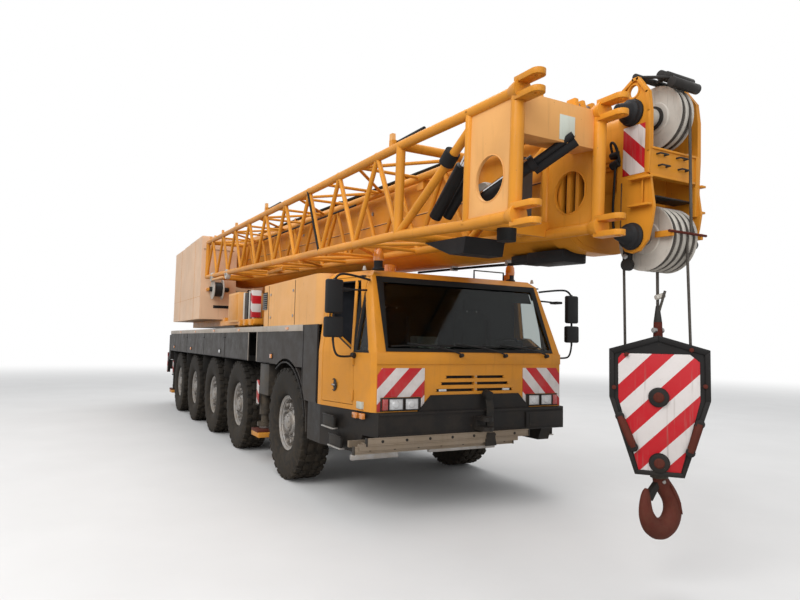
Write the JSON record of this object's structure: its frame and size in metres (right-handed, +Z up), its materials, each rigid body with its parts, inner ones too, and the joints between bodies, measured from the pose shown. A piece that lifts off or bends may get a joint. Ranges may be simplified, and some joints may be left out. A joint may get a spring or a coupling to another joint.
{
  "type": "mobile crane",
  "caption": "Road crane with a telescopic boom, a lattice jib stowed on its side, a slewing superstructure with counterweight, outriggers and a hook block.",
  "frame": {"origin": "on the ground under the middle of the whole machine", "axes": "+X forward, +Y to the crane's left, +Z up"},
  "size_m": [14.8088, 3.29, 4.0094],
  "materials": {
    "alloy": "satin",
    "black": "satin",
    "cast": "rough",
    "chrome": "polished",
    "glass": "clear",
    "lamp": "gloss",
    "paint": "gloss",
    "steel": "satin",
    "trim": "matte",
    "tyre": "matte"
  },
  "bodies": {
    "carrier": {"carrier_frame": "paint", "deck": "alloy", "fenders": "black", "engine_block": "cast", "engine_housing": "paint", "axle_beams": "cast", "front_bumper": "black", "ladder": "alloy", "cab_shell": "paint", "cab_glass": "glass", "cab_interior": "trim", "mirrors": "trim", "lamps": "lamp", "outrigger_boxes": "paint"},
    "wheel_1_left": {"wheel_1_left": "tyre"},
    "knuckle_1_left": {"knuckle_1_left": "cast"},
    "wheel_1_right": {"wheel_1_right": "tyre"},
    "knuckle_1_right": {"knuckle_1_right": "cast"},
    "wheel_2_left": {"wheel_2_left": "tyre"},
    "knuckle_2_left": {"knuckle_2_left": "cast"},
    "wheel_2_right": {"wheel_2_right": "tyre"},
    "knuckle_2_right": {"knuckle_2_right": "cast"},
    "wheel_3_left": {"wheel_3_left": "tyre"},
    "wheel_3_right": {"wheel_3_right": "tyre"},
    "wheel_4_left": {"wheel_4_left": "tyre"},
    "knuckle_4_left": {"knuckle_4_left": "cast"},
    "wheel_4_right": {"wheel_4_right": "tyre"},
    "knuckle_4_right": {"knuckle_4_right": "cast"},
    "wheel_5_left": {"wheel_5_left": "tyre"},
    "knuckle_5_left": {"knuckle_5_left": "cast"},
    "wheel_5_right": {"wheel_5_right": "tyre"},
    "knuckle_5_right": {"knuckle_5_right": "cast"},
    "door_left": {"cab_door_left": "paint"},
    "door_right": {"cab_door_right": "paint"},
    "outrigger_front_left": {"outrigger_beam_front_left": "paint"},
    "jack_front_left": {"outrigger_jack_front_left": "steel"},
    "outrigger_front_right": {"outrigger_beam_front_right": "paint"},
    "jack_front_right": {"outrigger_jack_front_right": "steel"},
    "outrigger_rear_left": {"outrigger_beam_rear_left": "paint"},
    "jack_rear_left": {"outrigger_jack_rear_left": "steel"},
    "outrigger_rear_right": {"outrigger_beam_rear_right": "paint"},
    "jack_rear_right": {"outrigger_jack_rear_right": "steel"},
    "superstructure": {"slew_platform": "paint", "counterweight": "paint", "operator_cab": "paint", "operator_glass": "glass"},
    "winch": {"winch_drum": "paint"},
    "boom": {"boom_base": "paint", "jib_lattice": "paint"},
    "tele_1": {"boom_tele_1": "paint"},
    "tele_2": {"boom_tele_2": "paint", "boom_head": "paint"},
    "sheaves_lower": {"head_sheaves_lower": "steel"},
    "sheaves_upper": {"head_sheaves_upper": "steel"},
    "hook_block": {"hook_block": "paint", "rope_falls": "steel"},
    "hook": {"hook": "cast"},
    "luff_barrel": {"luff_barrel": "paint"},
    "luff_rod": {"luff_rod": "chrome"}
  },
  "joints": [
    {"name": "steer_1_left", "type": "hinge", "parent": "carrier", "child": "knuckle_1_left", "pos_m": [2.61985, 1.02, 0.685], "axis": [0, 0, 1], "range_deg": [-34, 34]},
    {"name": "wheel_1_left_spin", "type": "hinge", "parent": "knuckle_1_left", "child": "wheel_1_left", "pos_m": [2.61985, 1.185, 0.685], "axis": [0, 1, 0], "continuous": true},
    {"name": "steer_1_right", "type": "hinge", "parent": "carrier", "child": "knuckle_1_right", "pos_m": [2.61985, -1.02, 0.685], "axis": [0, 0, 1], "range_deg": [-34, 34]},
    {"name": "wheel_1_right_spin", "type": "hinge", "parent": "knuckle_1_right", "child": "wheel_1_right", "pos_m": [2.61985, -1.185, 0.685], "axis": [0, 1, 0], "continuous": true},
    {"name": "steer_2_left", "type": "hinge", "parent": "carrier", "child": "knuckle_2_left", "pos_m": [0.16985, 1.02, 0.685], "axis": [0, 0, 1], "range_deg": [-23.8, 23.8]},
    {"name": "wheel_2_left_spin", "type": "hinge", "parent": "knuckle_2_left", "child": "wheel_2_left", "pos_m": [0.16985, 1.185, 0.685], "axis": [0, 1, 0], "continuous": true},
    {"name": "steer_2_right", "type": "hinge", "parent": "carrier", "child": "knuckle_2_right", "pos_m": [0.16985, -1.02, 0.685], "axis": [0, 0, 1], "range_deg": [-23.8, 23.8]},
    {"name": "wheel_2_right_spin", "type": "hinge", "parent": "knuckle_2_right", "child": "wheel_2_right", "pos_m": [0.16985, -1.185, 0.685], "axis": [0, 1, 0], "continuous": true},
    {"name": "wheel_3_left_spin", "type": "hinge", "parent": "carrier", "child": "wheel_3_left", "pos_m": [-1.70015, 1.185, 0.685], "axis": [0, 1, 0], "continuous": true},
    {"name": "wheel_3_right_spin", "type": "hinge", "parent": "carrier", "child": "wheel_3_right", "pos_m": [-1.70015, -1.185, 0.685], "axis": [0, 1, 0], "continuous": true},
    {"name": "steer_4_left", "type": "hinge", "parent": "carrier", "child": "knuckle_4_left", "pos_m": [-3.57015, 1.02, 0.685], "axis": [0, 0, 1], "range_deg": [-13.2, 13.2]},
    {"name": "wheel_4_left_spin", "type": "hinge", "parent": "knuckle_4_left", "child": "wheel_4_left", "pos_m": [-3.57015, 1.185, 0.685], "axis": [0, 1, 0], "continuous": true},
    {"name": "steer_4_right", "type": "hinge", "parent": "carrier", "child": "knuckle_4_right", "pos_m": [-3.57015, -1.02, 0.685], "axis": [0, 0, 1], "range_deg": [-13.2, 13.2]},
    {"name": "wheel_4_right_spin", "type": "hinge", "parent": "knuckle_4_right", "child": "wheel_4_right", "pos_m": [-3.57015, -1.185, 0.685], "axis": [0, 1, 0], "continuous": true},
    {"name": "steer_5_left", "type": "hinge", "parent": "carrier", "child": "knuckle_5_left", "pos_m": [-5.44015, 1.02, 0.685], "axis": [0, 0, 1], "range_deg": [-22, 22]},
    {"name": "wheel_5_left_spin", "type": "hinge", "parent": "knuckle_5_left", "child": "wheel_5_left", "pos_m": [-5.44015, 1.185, 0.685], "axis": [0, 1, 0], "continuous": true},
    {"name": "steer_5_right", "type": "hinge", "parent": "carrier", "child": "knuckle_5_right", "pos_m": [-5.44015, -1.02, 0.685], "axis": [0, 0, 1], "range_deg": [-22, 22]},
    {"name": "wheel_5_right_spin", "type": "hinge", "parent": "knuckle_5_right", "child": "wheel_5_right", "pos_m": [-5.44015, -1.185, 0.685], "axis": [0, 1, 0], "continuous": true},
    {"name": "door_left_open", "type": "hinge", "parent": "carrier", "child": "door_left", "pos_m": [4.45185, 1.26128, 1.603], "axis": [0, 0, -1], "range_deg": [0, 68]},
    {"name": "door_right_open", "type": "hinge", "parent": "carrier", "child": "door_right", "pos_m": [4.45185, -1.26128, 1.603], "axis": [0, 0, 1], "range_deg": [0, 68]},
    {"name": "outrigger_front_left_slide", "type": "slide", "parent": "carrier", "child": "outrigger_front_left", "axis": [0, 1, 0], "range_m": [0, 1.9]},
    {"name": "jack_front_left_slide", "type": "slide", "parent": "outrigger_front_left", "child": "jack_front_left", "axis": [0, 0, -1], "range_m": [0, 0.6]},
    {"name": "outrigger_front_right_slide", "type": "slide", "parent": "carrier", "child": "outrigger_front_right", "axis": [0, -1, 0], "range_m": [0, 1.9]},
    {"name": "jack_front_right_slide", "type": "slide", "parent": "outrigger_front_right", "child": "jack_front_right", "axis": [0, 0, -1], "range_m": [0, 0.6]},
    {"name": "outrigger_rear_left_slide", "type": "slide", "parent": "carrier", "child": "outrigger_rear_left", "axis": [0, 1, 0], "range_m": [0, 1.9]},
    {"name": "jack_rear_left_slide", "type": "slide", "parent": "outrigger_rear_left", "child": "jack_rear_left", "axis": [0, 0, -1], "range_m": [0, 0.6]},
    {"name": "outrigger_rear_right_slide", "type": "slide", "parent": "carrier", "child": "outrigger_rear_right", "axis": [0, -1, 0], "range_m": [0, 1.9]},
    {"name": "jack_rear_right_slide", "type": "slide", "parent": "outrigger_rear_right", "child": "jack_rear_right", "axis": [0, 0, -1], "range_m": [0, 0.6]},
    {"name": "slew", "type": "hinge", "parent": "carrier", "child": "superstructure", "pos_m": [-2.78015, 0, 1.9], "axis": [0, 0, 1], "continuous": true},
    {"name": "winch_spin", "type": "hinge", "parent": "superstructure", "child": "winch", "pos_m": [-6.14015, 0, 2.76], "axis": [0, 1, 0], "continuous": true},
    {"name": "boom_luff", "type": "hinge", "parent": "superstructure", "child": "boom", "pos_m": [-4.66615, 0, 3.25], "axis": [0, -1, 0], "range_deg": [0, 84]},
    {"name": "tele_1_slide", "type": "slide", "parent": "boom", "child": "tele_1", "axis": [0.9992, 0, -0.0401], "range_m": [0, 9]},
    {"name": "tele_2_slide", "type": "slide", "parent": "tele_1", "child": "tele_2", "axis": [0.9992, 0, -0.0401], "range_m": [0, 9]},
    {"name": "sheaves_lower_spin", "type": "hinge", "parent": "tele_2", "child": "sheaves_lower", "pos_m": [7.07961, 0, 2.51003], "axis": [0, 1, 0], "continuous": true},
    {"name": "sheaves_upper_spin", "type": "hinge", "parent": "tele_2", "child": "sheaves_upper", "pos_m": [7.09015, 0, 3.42034], "axis": [0, 1, 0], "continuous": true},
    {"name": "hook_swing", "type": "hinge", "parent": "tele_2", "child": "hook_block", "pos_m": [7.07961, 0, 2.51003], "axis": [0, 1, 0], "range_deg": [-30, 45]},
    {"name": "hook_swivel", "type": "hinge", "parent": "hook_block", "child": "hook", "pos_m": [7.07961, 0, 0.535], "axis": [0, 0, 1], "continuous": true},
    {"name": "luff_barrel_tilt", "type": "hinge", "parent": "superstructure", "child": "luff_barrel", "pos_m": [-2.88015, 0, 2.26], "axis": [0, -1, 0], "range_deg": [0, 89.66]},
    {"name": "luff_rod_slide", "type": "slide", "parent": "luff_barrel", "child": "luff_rod", "axis": [0.9974, 0, 0.0716], "range_m": [0, 2.6774]}
  ],
  "couplings": [
    {"joint": "steer_1_right", "follows": "steer_1_left", "ratio": 1},
    {"joint": "steer_2_left", "follows": "steer_1_left", "ratio": 0.7},
    {"joint": "steer_2_right", "follows": "steer_1_left", "ratio": 0.7},
    {"joint": "steer_4_left", "follows": "steer_5_left", "ratio": 0.6},
    {"joint": "steer_4_right", "follows": "steer_5_left", "ratio": 0.6},
    {"joint": "steer_5_right", "follows": "steer_5_left", "ratio": 1},
    {"joint": "tele_2_slide", "follows": "tele_1_slide", "ratio": 1},
    {"joint": "luff_barrel_tilt", "follows": "boom_luff", "ratio": 1.0668},
    {"joint": "luff_rod_slide", "follows": "boom_luff", "m_per_rad": 1.8249}
  ]
}
